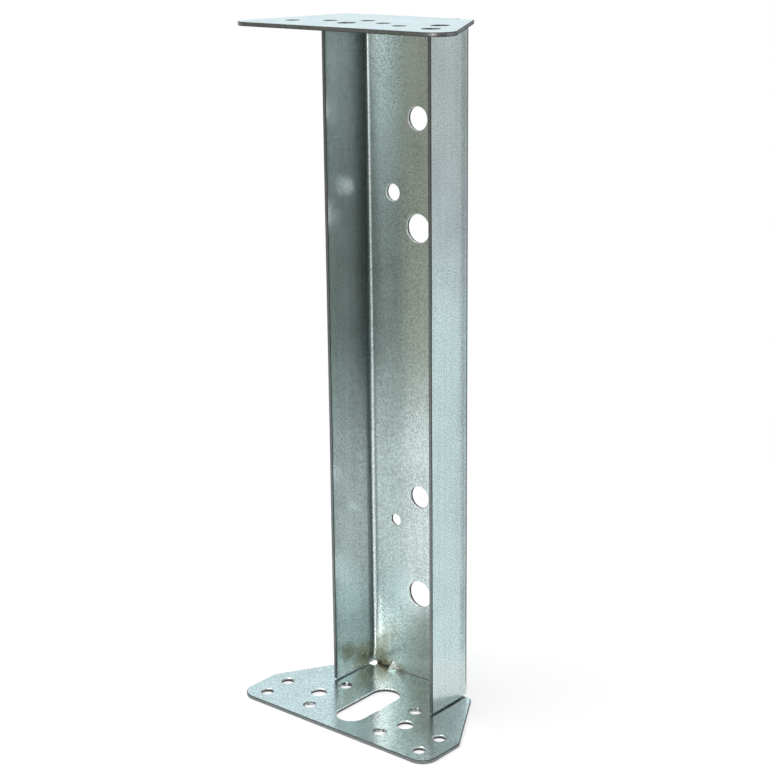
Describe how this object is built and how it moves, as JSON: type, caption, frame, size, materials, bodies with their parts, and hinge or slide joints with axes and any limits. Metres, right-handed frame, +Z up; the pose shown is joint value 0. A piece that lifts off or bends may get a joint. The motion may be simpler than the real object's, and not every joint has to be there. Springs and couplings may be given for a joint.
{
  "type": "angle bracket",
  "caption": "Tall angle bracket folded from one galvanised steel sheet: a channel-shaped upright between a pierced, slotted foot plate and a pierced head plate, for joining timber to concrete.",
  "frame": {"origin": "middle of the bracket's box, on the underside of the foot", "axes": "+Z up along the channel, +Y towards the web's back face, the open front of the channel towards -Y, X across the web"},
  "size_m": [0.1022, 0.056, 0.265],
  "materials": {
    "galvanised_steel": "bright galvanised, fine grain"
  },
  "bodies": {
    "root": {"angle_bracket": "galvanised_steel"}
  },
  "joints": []
}
